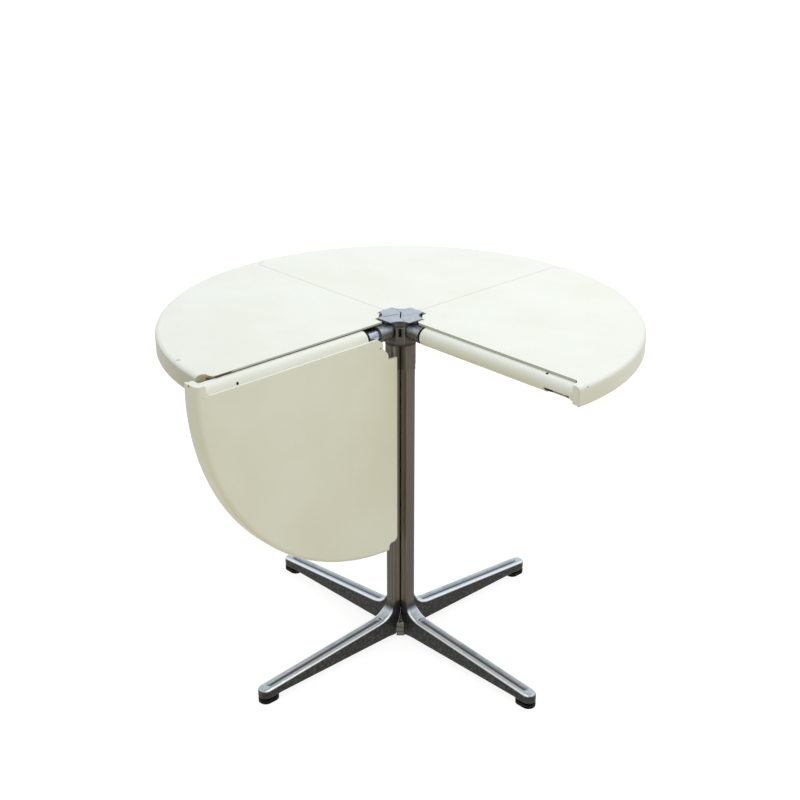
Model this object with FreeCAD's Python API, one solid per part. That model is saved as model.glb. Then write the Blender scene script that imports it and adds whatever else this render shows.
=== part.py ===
import FreeCAD, Part
import math
import os

# Folding dining table: four arms hinged in a ring carry four quarter-round leaves.
# Each leaf slides along the steel tube of its arm and then swings down about that tube.
# Frame: origin on the floor under the column, +X right, +Y away from the viewer, +Z up, millimetres.
# An arm is drawn along +X with its own leaf on the +Y side, and then turned about +Z.

V = FreeCAD.Vector

# Whole table
table_height = 730.0
table_radius = 480.0
arms = ("back_right", "back_left", "front_left", "front_right")
leaf_arms = {"front": "front_left", "right": "front_right", "back": "back_right", "left": "back_left"}
running_gap = 0.3
fit_gap = 0.1
overlap = 1.0
margin = 20.0
half_share = 0.5
sweep_margin_share = 0.11

# Leaf moulding
axis_drop = 23.0
plate_thickness = 5.0
first_edge = 0.4
seam_gap = 0.8
rim_height = 38.0
rim_wall = 5.0
rim_round = 10.0
rim_foot_round = 2.0
barrel_radius = 17.6
barrel_bore_radius = 15.5
barrel_start = 71.5
barrel_bore_setback = 30.0
web_near = 12.0
web_far = 17.0
web_depth = 7.0
tab_reach = 22.0
tab_setback = 19.5
tab_fillet = 12.0
tab_corner = 4.0
tab_foot_round = 4.0
notch_gap = 1.6
notch_inner_round = 8.0
notch_wall = 4.0
barrel_slot_setback = 90.0
barrel_slot_level = 4.0
corner_cut_start = 52.0
corner_cut_end = 49.0
corner_cut_shares = ((0.454, 0.93), (0.49, 0.683), (0.723, 0.446), (0.742, 0.192))
corner_cut_round_shares = (0.0, 0.04, 0.03, 0.06)
hook_radius = 2.0
hook_place_shares = (0.854, 0.371)
edge_rib_offset = 19.5
edge_rib_start = 50.0
edge_rib_depth = 20.0
rib_thickness = 3.0
rib_depth = 9.0
cross_rib_shares = (0.33, 0.56, 0.79)
long_rib_shares = (0.31, 0.58)
front_leaf_slide = 30.0

# Bushes and the screws that hold them in the barrels
bush_barrel_gap = 0.08
bush_flange_radius = 16.8
bush_flange_start = 66.0
bush_spigot_length = 22.0
outer_bush_setback = 105.5
outer_bush_length = 25.0
bush_groove_radius = 14.2
bush_groove_width = 6.2
screw_lean_share = 0.133
screw_radius = 2.6
screw_tip_radius = 14.6
screw_recess = 1.7

# Arm tubes
tube_radius = 12.5
tube_wall = 2.0
tube_start = 34.0
tube_end_setback = 40.0
tube_bush_gap = 0.05
plug_length = 16.0
plug_rim = 3.0
plug_rim_radius = 14.5
set_screw_place = 54.0
set_screw_radius = 2.0
set_screw_lean_share = 0.33

# Column lobes
lobe_tip = 32.0
lobe_half_width = 11.0
edge_round = 4.0
lobe_root_gap = 0.4
lobe_mouth_half = 8.5
lobe_mouth_gap = 2.4
lobe_wall = 2.4
column_bottom = 91.0
column_top_drop = 51.3
tongue_height = 25.0

# Hub quarters
hub_radius = 33.0
hub_height = 48.0
hub_split_gap = 0.3
stub_radius = 16.4
stub_start = 20.0
stub_end = 65.5
stub_collar_radius = 17.2
stub_collar_length = 6.0
skirt_height = 55.0
skirt_thickness = 1.3
boss_radius = 26.0
knuckle_half_width = 8.1
knuckle_inner = 18.0
knuckle_tie = 4.0
hub_knuckle_outer = 37.0
hub_cheek_outer = 33.0
hub_cheek_height = 8.0
hub_pin_place = 27.0
hub_pin_radius = 2.5
knuckle_slot_half_width = 2.5
knuckle_slot_top_wall = 2.3
knuckle_slot_length = 15.7
knuckle_slot_depth = 6.0

# Cap petals
cap_half_width = 44.5
cap_thickness = 2.2
petal_outline_shares = ((-0.83, -0.16), (-1.0, -0.42), (-0.42, -1.0), (-0.16, -0.83))
petal_corner = 2.0
petal_split_shares = ((0.1, -0.83), (0.19, -0.62), (0.03, -0.42), (-0.015, -0.12), (0.0, 0.0))
petal_split_half_gap = 0.4
cap_slot_half_width = 1.3
cap_slot_half_length = 18.0
cap_slot_depth = 30.0
petal_peg_radius = 3.0
petal_peg_length = 8.0
petal_peg_place = 15.0

# Leg castings
leg_half_width = 15.5
leg_bottom = 13.5
leg_root_height = 57.5
leg_root_tip = 74.0
leg_tip_centre = 372.0
leg_tip_height = 33.5
sweep_share = 0.55
mouth_flare_share = 1.4
foot_inset = 1.0
pocket_start = 48.0
pocket_end_setback = 37.0
pocket_wall = 4.0
channel_start = 60.0
channel_end_setback = 20.0
channel_floor_half = 4.5
channel_mouth_half = 6.5
channel_depth = 3.5
channel_rise = 16.0
foot_length = 14.0
base_knuckle_bottom = 8.0
base_knuckle_top = 40.0
base_knuckle_outer = 30.0
base_knuckle_inner = 15.0
base_knuckle_shares = (0.32, 0.68)
base_pin_place = 23.0
base_pin_radius = 3.0
arch_height = 18.0
arch_half_width = 5.8

# Glides
glide_top = 10.0
glide_inset = 0.3
glide_chamfer = 1.8
glide_peg_radius = 4.0
glide_peg_height = 8.0

arm_step = math.degrees(math.tau) / len(arms)
half_step = arm_step * half_share
arm_angles = {arm: half_step + arm_step * i for i, arm in enumerate(arms)}
sweep_margin = arm_step * sweep_margin_share
quarter_turn = math.degrees(math.pi) * half_share

axis_height = table_height - axis_drop
plate_bottom = table_height - plate_thickness
rim_bottom = table_height - rim_height
second_edge = first_edge + seam_gap
tab_inner = table_radius - tab_setback
notch_depth = tab_reach + notch_gap
notch_along = tab_inner - notch_gap
notch_outer_round = tab_fillet - notch_gap
barrel_bore_end = table_radius - barrel_bore_setback
barrel_slot_start = table_radius - barrel_slot_setback
outer_bush_start = table_radius - outer_bush_setback
screw_place = outer_bush_start + outer_bush_length * half_share
screw_lean = arm_step * screw_lean_share
set_screw_lean = arm_step * set_screw_lean_share
tube_end = table_radius - tube_end_setback
column_top = table_height - column_top_drop
hub_bottom = column_top + running_gap
hub_top = hub_bottom + hub_height
boss_top = table_height + running_gap + fit_gap
pocket_end = leg_tip_centre - pocket_end_setback
channel_end = leg_tip_centre - channel_end_setback


def outline(points, radii, level):
    """Flat face at a level: straight sides between the points, each corner rounded by its radius."""
    ends = []
    for i in range(len(points)):
        corner = V(points[i][0], points[i][1], level)
        if radii[i] == 0:
            ends.append((corner, None, corner))
            continue
        ahead = points[(i + 1) % len(points)]
        back = (V(points[i - 1][0], points[i - 1][1], level) - corner).normalize()
        forth = (V(ahead[0], ahead[1], level) - corner).normalize()
        half_angle = back.getAngle(forth) * half_share
        middle = (back + forth).normalize()
        reach = radii[i] / math.tan(half_angle)
        bend = corner + middle * (radii[i] / math.sin(half_angle) - radii[i])
        ends.append((corner + back * reach, bend, corner + forth * reach))
    edges = []
    for i in range(len(points)):
        enter, bend, leave = ends[i]
        if bend is not None:
            edges.append(Part.Arc(enter, bend, leave).toShape())
        edges.append(Part.makeLine(leave, ends[(i + 1) % len(points)][0]))
    return Part.Face(Part.Wire(edges))


def prism(points, radii, bottom, top):
    """Upright solid between two levels over a rounded outline."""
    return outline(points, radii, bottom).extrude(V(0, 0, top - bottom))


def block(x_from, x_to, y_from, y_to, bottom, top):
    """Rectangular block between three pairs of planes."""
    return Part.makeBox(x_to - x_from, y_to - y_from, top - bottom, V(x_from, y_from, bottom))


def post(radius, bottom, top, x, y):
    """Upright cylinder between two levels."""
    return Part.makeCylinder(radius, top - bottom, V(x, y, bottom), V(0, 0, 1))


def rod(radius, start, end):
    """Cylinder along the arm, on the axis of its tube."""
    return Part.makeCylinder(radius, end - start, V(start, 0, axis_height), V(1, 0, 0))


def spoke(radius, inner, outer, place, angle):
    """Small cylinder square to the arm's tube, tilted from upright, between two radii."""
    direction = V(0, -math.sin(math.radians(angle)), math.cos(math.radians(angle)))
    return Part.makeCylinder(radius, outer - inner, V(place, 0, axis_height) + direction * inner, direction)


def turned(shape, angle):
    """Copy of a shape turned about the column's axis."""
    copy = shape.copy()
    copy.rotate(V(0, 0, 0), V(0, 0, 1), angle)
    return copy


def long_slice(points, y_from, y_to):
    """Solid between two planes beside the arm, over an outline in length and height."""
    wire = Part.makePolygon([V(x, y_from, z) for x, z in points + points[:1]])
    return Part.Face(wire).extrude(V(0, y_to - y_from, 0))


def cross_slice(points, x_from, x_to):
    """Solid between two planes across the arm, over an outline in width and height."""
    wire = Part.makePolygon([V(x_from, y, z) for y, z in points + points[:1]])
    return Part.Face(wire).extrude(V(x_to - x_from, 0, 0))


def lobe_face(tip, half, corner, level, spread=0.0):
    """Plan of a lobe at a level: pointed root, flared mouth and blunt tip with rounded corners."""
    root = lobe_root_gap - spread / math.sqrt(half_share)
    mouth = lobe_mouth_half + spread
    side = half + lobe_mouth_gap
    lower = [(root, 0), (mouth + root, -mouth), (side, -half), (tip, -half)]
    upper = [(tip, half), (side, half), (mouth + root, mouth)]
    return outline(lower + upper, [0, 0, 0, corner, corner, 0, 0], level)


def lobe_core(inset, bottom, top):
    """Upright core of a lobe, drawn in from its outer plan by an inset."""
    half = lobe_half_width - inset
    tip = lobe_tip - inset
    root = lobe_mouth_gap + inset / math.sqrt(half_share)
    corner = edge_round - inset
    points = [(root, 0), (half + root, -half), (tip, -half), (tip, half), (half + root, half)]
    return prism(points, [0, 0, corner, corner, 0], bottom, top)


def column_lobe():
    """Hollow extruded lobe of the column, open at both ends."""
    outer = lobe_face(lobe_tip, lobe_half_width, edge_round, column_bottom)
    outer = outer.extrude(V(0, 0, column_top - column_bottom))
    return outer.cut(lobe_core(lobe_wall, column_bottom - margin, column_top + margin))


def leg_top(x):
    """Height of the leg's top face at a distance from the column's axis."""
    slope = (leg_tip_height - leg_root_height) / (leg_tip_centre - leg_root_tip)
    return leg_root_height + slope * (x - leg_root_tip)


def curve(places):
    """Smooth edge that leaves its first place towards the second and reaches its last from the third."""
    bezier = Part.BezierCurve()
    bezier.setPoles(places)
    return bezier.toShape()


def leg_side():
    """Side view of leg and root: sloping top, and a hollow sweep from the lobe's tip down into it."""
    far = leg_tip_centre + leg_half_width + margin
    tip = V(far, 0, leg_top(far))
    root = V(leg_root_tip, 0, leg_root_height)
    lobe = V(lobe_tip, 0, column_bottom)
    sweep_x = leg_root_tip - (leg_root_tip - lobe_tip) * sweep_share
    sweep_z = column_bottom - (column_bottom - leg_root_height) * sweep_share
    sweep = curve([lobe, V(lobe_tip, 0, sweep_z), V(sweep_x, 0, leg_top(sweep_x)), root])
    corners = [root, tip, V(far, 0, leg_bottom), V(0, 0, leg_bottom), V(0, 0, column_bottom), lobe]
    edges = [Part.makeLine(corners[i], corners[i + 1]) for i in range(len(corners) - 1)]
    face = Part.Face(Part.Wire([sweep] + edges))
    solid = face.extrude(V(0, leg_half_width / half_share, 0))
    solid.translate(V(0, -leg_half_width, 0))
    return solid


def leg_front():
    """End view of leg and root: straight sides that draw in to the lobe's width."""
    middle = (column_bottom + leg_root_height) * half_share
    far = leg_tip_centre + leg_half_width + margin
    sides = []
    for side in (1, -1):
        wide = side * leg_half_width
        thin = side * lobe_half_width
        places = [V(0, wide, leg_root_height), V(0, wide, middle)]
        places += [V(0, thin, middle), V(0, thin, column_bottom)]
        sides.append(curve(places if side == 1 else places[::-1]))
    corners = [V(0, -leg_half_width, leg_root_height), V(0, -leg_half_width, leg_bottom)]
    corners += [V(0, leg_half_width, leg_bottom), V(0, leg_half_width, leg_root_height)]
    top = [V(0, lobe_half_width, column_bottom), V(0, -lobe_half_width, column_bottom)]
    edges = [sides[0], Part.makeLine(top[0], top[1]), sides[1]]
    edges += [Part.makeLine(corners[i], corners[i + 1]) for i in range(len(corners) - 1)]
    return Part.Face(Part.Wire(edges)).extrude(V(far, 0, 0))


def leg_plan():
    """Plan view of leg and root: pointed root, flared mouth and a half round end."""
    half = leg_half_width
    mouth = lobe_mouth_half + lobe_root_gap
    side = mouth + (half - lobe_mouth_half) * mouth_flare_share
    corners = [V(leg_tip_centre, half, leg_bottom), V(side, half, leg_bottom)]
    corners += [V(mouth, lobe_mouth_half, leg_bottom), V(lobe_root_gap, 0, leg_bottom)]
    corners += [V(place.x, -place.y, place.z) for place in corners[-2::-1]]
    end = Part.Arc(corners[-1], V(leg_tip_centre + half, 0, leg_bottom), corners[0]).toShape()
    edges = [Part.makeLine(corners[i], corners[i + 1]) for i in range(len(corners) - 1)] + [end]
    return Part.Face(Part.Wire(edges)).extrude(V(0, 0, column_bottom - leg_bottom))


def is_rim(edge):
    """Whether an edge runs along the top of the leg or up its root, between top face and side."""
    middle = edge.valueAt((edge.FirstParameter + edge.LastParameter) * half_share)
    ends = [vertex.Point for vertex in edge.Vertexes]
    outside = max(abs(middle.y), middle.x - leg_tip_centre) > lobe_half_width
    above = min([place.z for place in ends] + [middle.z]) > leg_bottom + overlap
    seam = all(abs(place.z - leg_root_height) < fit_gap for place in ends)
    return outside and above and not seam and max(place.x for place in ends) > lobe_tip + overlap


def leg_beam():
    """Leg and root in one piece, rounded along its top edges, with a foot under its tip."""
    body = leg_side().common(leg_plan()).common(leg_front())
    body = body.makeFillet(edge_round, [edge for edge in body.Edges if is_rim(edge)])
    return body.fuse(oblong(leg_half_width - foot_inset, glide_top, leg_bottom + overlap))


def oblong(radius, bottom, top):
    """Upright solid with two round ends, under the tip of the leg."""
    start = leg_tip_centre - foot_length
    middle = block(start, leg_tip_centre, -radius, radius, bottom, top)
    return middle.fuse([post(radius, bottom, top, start, 0), post(radius, bottom, top, leg_tip_centre, 0)])


def leg_channel():
    """Sunken channel along the top of the leg, with sloping sides."""
    wires = []
    for x in (channel_start, channel_end):
        low = leg_top(x) - channel_depth
        high = leg_top(x) + channel_rise
        spread = (channel_mouth_half - channel_floor_half) * (high - low) / channel_depth
        wide = channel_floor_half + spread
        floor = [V(x, -channel_floor_half, low), V(x, channel_floor_half, low)]
        wires.append(Part.makePolygon(floor + [V(x, wide, high), V(x, -wide, high), floor[0]]))
    return Part.makeLoft(wires, True, True)


def leg_pocket():
    """Hollow underside of the leg."""
    low = leg_bottom - margin
    cover = channel_depth + pocket_wall
    near = leg_top(pocket_start) - cover
    far = leg_top(pocket_end) - cover
    half = leg_half_width - pocket_wall
    points = [(pocket_start, low), (pocket_end, low), (pocket_end, far), (pocket_start, near)]
    return long_slice(points, -half, half)


def knuckle(side, inner, outer, bottom, top, grow):
    """Hinge block across the split on one side of the arm (side +1 or -1), grown by a clearance."""
    half = knuckle_half_width + grow
    return turned(block(inner - grow, outer, -half, half, bottom - grow, top + grow), side * half_step)


def own_knuckle(side, inner, outer, bottom, top):
    """Hinge block tied back into the arm that carries it."""
    reach = knuckle_half_width + knuckle_tie
    tie = block(inner, hub_pin_place, min(0, -side * reach), max(0, -side * reach), bottom, top)
    return knuckle(side, inner, outer, bottom, top, 0).fuse(turned(tie, side * half_step))


def base_levels():
    """Levels of the two joints between the three knuckles of a base hinge."""
    height = base_knuckle_top - base_knuckle_bottom
    return [base_knuckle_bottom + height * share for share in base_knuckle_shares]


def base_hinge(shape):
    """Clear the neighbours' knuckles from a leg casting and add its own, bored for the pins."""
    inner = base_knuckle_inner
    outer = base_knuckle_outer
    lower, upper = base_levels()
    room = base_knuckle_bottom - margin
    for side in (-1, 1):
        shape = shape.cut(knuckle(side, inner, outer + margin, room, base_knuckle_top, running_gap))
    middle = own_knuckle(1, inner, outer, lower + running_gap, upper - running_gap)
    low = own_knuckle(-1, inner, outer, base_knuckle_bottom, lower)
    high = own_knuckle(-1, inner, outer, upper, base_knuckle_top)
    shape = shape.fuse([middle, low, high])
    for side in (-1, 1):
        bore = post(base_pin_radius + fit_gap, room, base_knuckle_top + margin, base_pin_place, 0)
        shape = shape.cut(turned(bore, side * half_step))
    return shape


def arch_cut(side):
    """Pointed opening between two legs above their hinge."""
    foot = base_knuckle_top
    points = [(arch_half_width, foot), (0, foot + arch_height), (-arch_half_width, foot)]
    return turned(cross_slice(points, 0, lobe_tip + margin), side * half_step)


def leg_casting():
    """Leg and foot of one arm, with its hollow, channel, hinge knuckles and the spigot inside the column."""
    tongue = lobe_core(lobe_wall + fit_gap, column_bottom - overlap, column_bottom + tongue_height)
    body = leg_beam().fuse(tongue)
    middle = leg_tip_centre - foot_length * half_share
    hole_top = glide_top + glide_peg_height + fit_gap
    hole = post(glide_peg_radius + fit_gap, glide_top - overlap, hole_top, middle, 0)
    body = body.cut(leg_channel()).cut(leg_pocket()).cut(hole)
    body = body.cut(arch_cut(1)).cut(arch_cut(-1))
    return base_hinge(body).removeSplitter()


def glide():
    """Oblong floor glide with a chamfered sole and a peg up into the leg."""
    radius = leg_half_width - glide_inset
    start = leg_tip_centre - foot_length
    upper = oblong(radius, glide_chamfer, glide_top)
    low = radius - glide_chamfer
    ends = [Part.makeCone(low, radius, glide_chamfer, V(x, 0, 0)) for x in (start, leg_tip_centre)]
    points = [(-low, 0), (low, 0), (radius, glide_chamfer), (-radius, glide_chamfer)]
    sole = cross_slice(points, start, leg_tip_centre)
    middle = start + foot_length * half_share
    peg = post(glide_peg_radius, glide_top - overlap, glide_top + glide_peg_height, middle, 0)
    return upper.fuse(ends + [sole, peg]).removeSplitter()


def hub_sector():
    """Quarter of the round hub body, with the boss that carries its cap petal."""
    reach = hub_radius + margin
    gap = hub_split_gap
    plan = prism([(gap, 0), (gap + reach, -reach), (gap + reach, reach)], [0, 0, 0], hub_bottom, boss_top)
    body = post(hub_radius, hub_bottom, hub_top, 0, 0)
    boss = post(boss_radius, hub_top - overlap, boss_top, 0, 0)
    return body.fuse(boss).common(plan)


def hub_skirt():
    """Sleeve of the hub round the top of the column lobe."""
    bottom = hub_bottom - skirt_height
    outer = lobe_face(lobe_tip + skirt_thickness, lobe_half_width + skirt_thickness,
                      edge_round + skirt_thickness, bottom)
    outer = outer.extrude(V(0, 0, skirt_height + overlap))
    inner = lobe_face(lobe_tip + fit_gap, lobe_half_width + fit_gap, edge_round + fit_gap, bottom, fit_gap)
    return outer.cut(inner.extrude(V(0, 0, skirt_height)))


def hub_hinge(shape):
    """Clear the neighbours' knuckles from a hub quarter and add its own, bored for the pins."""
    low = hub_bottom + hub_cheek_height
    high = hub_top - hub_cheek_height
    far = hub_radius + margin
    inner = knuckle_inner
    shape = shape.cut(knuckle(-1, inner, far, low, high, 0))
    shape = shape.cut(knuckle(1, inner, far, hub_bottom, low, 0))
    shape = shape.cut(knuckle(1, inner, far, high, hub_top, 0))
    middle = own_knuckle(1, inner + running_gap, hub_knuckle_outer, low + running_gap, high - running_gap)
    slot_top = high - running_gap - knuckle_slot_top_wall
    half = knuckle_slot_half_width
    slot_floor = hub_knuckle_outer - knuckle_slot_depth
    slot = block(slot_floor, far, -half, half, slot_top - knuckle_slot_length, slot_top)
    middle = middle.cut(turned(slot, half_step))
    bottom = own_knuckle(-1, inner + running_gap, hub_cheek_outer, hub_bottom, low)
    top = own_knuckle(-1, inner + running_gap, hub_cheek_outer, high, hub_top)
    shape = shape.fuse([middle, bottom, top])
    for side in (-1, 1):
        bore = post(hub_pin_radius + fit_gap, hub_bottom - margin, hub_top + margin, hub_pin_place, 0)
        shape = shape.cut(turned(bore, side * half_step))
    return shape


def hub_quarter():
    """Quarter of the hub: body, tube socket with its collar, skirt over the column and hinge knuckles."""
    stub = rod(stub_radius, stub_start, stub_end)
    collar = rod(stub_collar_radius, stub_end - stub_collar_length, stub_end)
    body = hub_sector().fuse([stub, hub_skirt()])
    body = hub_hinge(body).fuse(collar)
    body = body.cut(rod(tube_radius + fit_gap, tube_start, stub_end + margin))
    for lean in (-set_screw_lean, set_screw_lean):
        hole = spoke(set_screw_radius + fit_gap, tube_radius, stub_radius + margin, set_screw_place, lean)
        body = body.cut(hole)
    bottom = boss_top - petal_peg_length - fit_gap
    return body.cut(post(petal_peg_radius + fit_gap, bottom, boss_top + margin, petal_peg_place, 0))


def cap_slot():
    """Open slot across the middle of the cap and into the hub below."""
    return block(-cap_slot_half_width, cap_slot_half_width, -cap_slot_half_length, cap_slot_half_length,
                 boss_top - cap_slot_depth, boss_top + margin)


def split_line(turns, shift):
    """Wavy line from the cap's edge to its centre, turned by quarter turns and moved by a shift."""
    places = []
    for x, y in petal_split_shares:
        for _ in range(turns):
            x, y = y, -x
        places.append(V(x * cap_half_width, y * cap_half_width, boss_top) + shift)
    curve = Part.BSplineCurve()
    curve.interpolate(places)
    return curve.toShape(), places


def cap_petal():
    """Quarter of the cap, drawn for the front left arm: two pointed ears, wavy splits and a locating peg."""
    near, near_places = split_line(0, V(-petal_split_half_gap, 0, 0))
    far, far_places = split_line(1, V(0, -petal_split_half_gap, 0))
    rim = [V(x * cap_half_width, y * cap_half_width, boss_top) for x, y in petal_outline_shares]
    corners = [far_places[0]] + rim + [near_places[0]]
    edges = [Part.makeLine(corners[i], corners[i + 1]) for i in range(len(corners) - 1)]
    edges += [near, Part.makeLine(near_places[-1], far_places[-1]), far]
    plate = Part.Face(Part.Wire(Part.__sortEdges__(edges))).extrude(V(0, 0, cap_thickness))
    ears = [edge for edge in plate.Edges if is_ear(edge, rim[1:3])]
    plate = plate.makeFillet(petal_corner, ears)
    peg = post(petal_peg_radius, boss_top - petal_peg_length, boss_top + cap_thickness, petal_peg_place, 0)
    return plate.fuse(turned(peg, arm_angles["front_left"])).removeSplitter()


def is_ear(edge, places):
    """Whether an edge stands upright over one of the places."""
    first, last = edge.Vertexes[0].Point, edge.Vertexes[-1].Point
    if abs(abs(first.z - last.z) - cap_thickness) > fit_gap:
        return False
    return any(math.hypot(first.x - place.x, first.y - place.y) < fit_gap for place in places)


def arm_tube():
    """Steel tube that the leaf's bushes run on."""
    bore = rod(tube_radius - tube_wall, tube_start - margin, tube_end + margin)
    return rod(tube_radius, tube_start, tube_end).cut(bore)


def tube_plug():
    """Plastic plug in the tube's outer end, with a rim that stops the outer bush."""
    stem = rod(tube_radius - tube_wall - fit_gap, tube_end - plug_length, tube_end)
    return stem.fuse(rod(plug_rim_radius, tube_end, tube_end + plug_rim))


def set_screws():
    """Two small screws that hold one tube in its socket."""
    outer = stub_radius - fit_gap
    return [spoke(set_screw_radius, tube_radius + fit_gap, outer, set_screw_place, lean)
            for lean in (-set_screw_lean, set_screw_lean)]


def rim_profile(inner_radius, inner_level):
    """Half section of the leaf from the column's axis to the rim, hollow inside inner_radius."""
    inner_bend = rim_round * math.sqrt(half_share)
    foot_bend = rim_foot_round * math.sqrt(half_share)
    top = table_height
    centre = V(table_radius - rim_round, 0, top - rim_round)
    foot = V(table_radius - rim_foot_round, 0, rim_bottom + rim_foot_round)
    bend = centre + V(inner_bend, 0, inner_bend)
    arc = Part.Arc(V(table_radius, 0, centre.z), bend, V(centre.x, 0, top))
    bend = foot + V(foot_bend, 0, -foot_bend)
    foot_arc = Part.Arc(V(foot.x, 0, rim_bottom), bend, V(table_radius, 0, foot.z))
    points = [V(0, 0, top), V(0, 0, inner_level)]
    if inner_radius > 0:
        points += [V(inner_radius, 0, inner_level), V(inner_radius, 0, rim_bottom)]
    points.append(V(foot.x, 0, rim_bottom))
    edges = [Part.makeLine(points[i], points[i + 1]) for i in range(len(points) - 1)]
    edges += [foot_arc.toShape(), Part.makeLine(V(table_radius, 0, foot.z), V(table_radius, 0, centre.z))]
    edges += [arc.toShape(), Part.makeLine(V(centre.x, 0, top), points[0])]
    return Part.Face(Part.Wire(edges))


def swept(face):
    """Solid of revolution over a little more than the leaf's quarter."""
    turn = arm_step + sweep_margin / half_share
    return turned(face, -sweep_margin).revolve(V(0, 0, 0), V(0, 0, 1), turn)


def leaf_plan():
    """Plan of the leaf: straight edges, tab past the barrel, notch for the neighbour's tab and hub corner."""
    far = table_radius + margin
    points = [(corner_cut_start, -first_edge), (tab_inner, -first_edge), (tab_inner, -tab_reach)]
    points += [(far, -tab_reach), (far, far), (notch_depth, far), (notch_depth, notch_along)]
    points += [(second_edge, notch_along), (second_edge, corner_cut_end)]
    radii = [0, tab_fillet, tab_corner, 0, 0, 0, notch_inner_round, notch_outer_round, 0]
    points += [(x * corner_cut_start, y * corner_cut_start) for x, y in corner_cut_shares]
    radii += [share * corner_cut_start for share in corner_cut_round_shares]
    return prism(points, radii, rim_bottom - overlap, table_height + overlap)


def notch_liner(envelope):
    """Wall round the notch, kept clear of the neighbour's barrel."""
    x = notch_depth - notch_inner_round
    y = notch_along + notch_inner_round
    ring = post(notch_inner_round + notch_wall, rim_bottom, plate_bottom + overlap, x, y)
    ring = ring.cut(post(notch_inner_round, rim_bottom - overlap, table_height, x, y))
    outer = notch_depth + notch_wall
    ring = ring.common(block(edge_rib_offset, outer, notch_along - notch_wall, y, rim_bottom, table_height))
    side = block(notch_depth, outer, y, table_radius, rim_bottom, plate_bottom + overlap)
    return ring.fuse(side).common(envelope)


def leaf_ribs(envelope):
    """Stiffening ribs under the plate: one beside the free edge, three across and two along the barrel."""
    low = plate_bottom - rib_depth
    high = plate_bottom + overlap
    edge_end = edge_rib_offset + rib_thickness
    foot = plate_bottom - edge_rib_depth
    ribs = [block(edge_rib_offset, edge_end, edge_rib_start, notch_along, foot, high)]
    half = rib_thickness * half_share
    for share in cross_rib_shares:
        place = table_radius * share
        ribs.append(block(place - half, place + half, barrel_bore_radius, table_radius, low, high))
    for share in long_rib_shares:
        place = table_radius * share
        ribs.append(block(edge_end, table_radius, place - half, place + half, low, high))
    return [rib.common(envelope) for rib in ribs]


def is_foot(edge):
    """Whether an edge lies under the end block, on one of its two open sides."""
    box = edge.BoundBox
    return box.ZMax < rim_bottom + fit_gap and box.XMin < table_radius and box.YMin < barrel_radius - overlap


def end_block(envelope):
    """End block past the barrel, rounded along its foot and kept inside the rim."""
    far = table_radius + margin
    plan = [(tab_inner, -tab_reach), (far, -tab_reach), (far, barrel_radius), (tab_inner, barrel_radius)]
    tab = prism(plan, [tab_corner, 0, 0, 0], rim_bottom, table_height)
    tab = tab.makeFillet(tab_foot_round, [edge for edge in tab.Edges if is_foot(edge)])
    return tab.common(envelope)


def leaf_panel():
    """One quarter leaf moulding, drawn raised and pushed in: plate, rim, barrel, tab, notch and ribs."""
    inner_rim = table_radius - rim_wall
    tray = swept(rim_profile(inner_rim, plate_bottom)).common(leaf_plan())
    envelope = swept(rim_profile(0, rim_bottom))
    barrel = rod(barrel_radius, barrel_start, tab_inner + overlap)
    web = [(-first_edge, plate_bottom + overlap), (-first_edge, axis_height + web_near)]
    web += [(web_near, axis_height + web_depth), (web_far, plate_bottom + overlap)]
    web = cross_slice(web, barrel_start, tab_inner + overlap)
    panel = tray.fuse([barrel, web, end_block(envelope), notch_liner(envelope)] + leaf_ribs(envelope))
    panel = panel.cut(rod(barrel_bore_radius, barrel_start - margin, barrel_bore_end))
    reach = barrel_radius + margin
    panel = panel.cut(block(barrel_slot_start, barrel_bore_end, -reach, 0,
                            axis_height - reach, axis_height - barrel_slot_level))
    hook = [share * corner_cut_start for share in hook_place_shares]
    panel = panel.cut(post(hook_radius, rim_bottom, table_height + overlap, hook[0], hook[1]))
    panel = panel.cut(spoke(screw_radius + fit_gap, bush_groove_radius, reach, screw_place, screw_lean))
    return panel.removeSplitter()


def bushing(start, end):
    """Plain bush between the arm's tube and the leaf's barrel."""
    body = rod(barrel_bore_radius - bush_barrel_gap, start, end)
    return body, rod(tube_radius + tube_bush_gap, start - margin, end + margin)


def inner_bush():
    """Flanged bush in the barrel's inner end."""
    flange_end = barrel_start - running_gap
    body, bore = bushing(flange_end - overlap, flange_end + bush_spigot_length)
    return body.fuse(rod(bush_flange_radius, bush_flange_start, flange_end)).cut(bore)


def outer_bush():
    """Outer bush with a groove that the holding screw runs in."""
    end = outer_bush_start + outer_bush_length
    body, bore = bushing(outer_bush_start, end)
    half = bush_groove_width * half_share
    groove = rod(barrel_radius, screw_place - half, screw_place + half)
    groove = groove.cut(rod(bush_groove_radius, screw_place - half, screw_place + half))
    return body.cut(groove).cut(bore)


def bush_screw():
    """Screw through the barrel's wall into the groove of the outer bush."""
    return spoke(screw_radius, screw_tip_radius, barrel_radius - screw_recess, screw_place, screw_lean)


def hung(shape):
    """The front leaf's pose: pulled out along its tube and swung down a quarter turn."""
    copy = shape.copy()
    copy.rotate(V(0, 0, axis_height), V(1, 0, 0), -quarter_turn)
    copy.translate(V(front_leaf_slide, 0, 0))
    return copy


def save(name, shape):
    """Write one named piece."""
    print(name, "valid", shape.isValid(), "solids", len(shape.Solids), "volume", round(shape.Volume))
    shape.exportStep("parts/" + name + ".step")


def hinge_pins(radius, bottom, top, place):
    """Four upright pins between neighbouring arms."""
    pin = post(radius, bottom, top, place, 0)
    return Part.makeCompound([turned(pin, angle + half_step) for angle in arm_angles.values()])


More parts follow.
